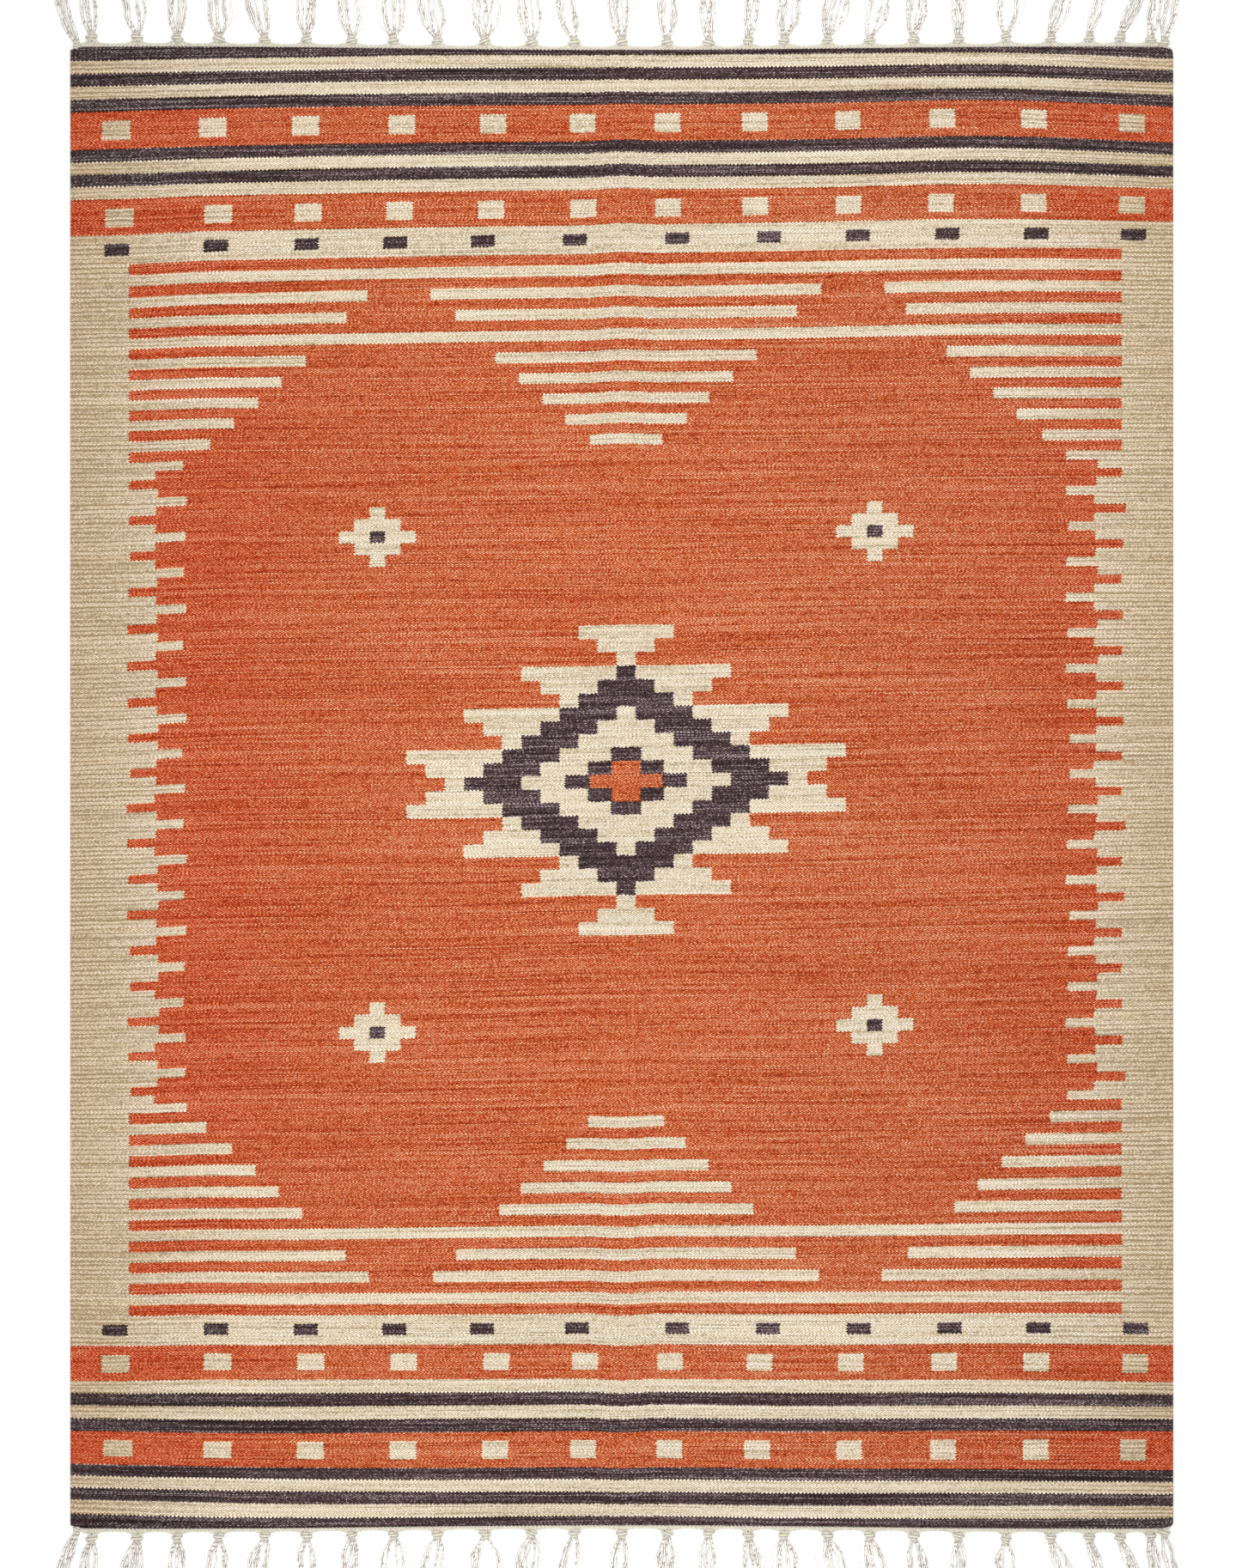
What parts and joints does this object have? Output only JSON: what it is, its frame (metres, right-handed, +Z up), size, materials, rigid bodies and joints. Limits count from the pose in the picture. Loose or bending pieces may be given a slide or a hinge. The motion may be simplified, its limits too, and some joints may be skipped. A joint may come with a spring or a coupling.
{
  "type": "kilim rug",
  "caption": "Flatwoven floor rug with stepped teeth, a serrated diamond, small stars and striped ends, and knotted warp fringe along both ends.",
  "frame": {"origin": "on the floor under the middle of the rug", "axes": "+X across the rug's width, +Y along its length towards the head end, +Z up, out of the patterned face"},
  "size_m": [1.7457, 2.4954, 0.016],
  "materials": {
    "woven_wool": "matte flatwoven wool, orange ground with cream and charcoal figures",
    "warp_yarn": "matte plied off-white warp yarn, knotted in bunches"
  },
  "bodies": {
    "root": {"cloth": "woven_wool", "head_fringe": "warp_yarn", "foot_fringe": "warp_yarn"}
  },
  "joints": []
}
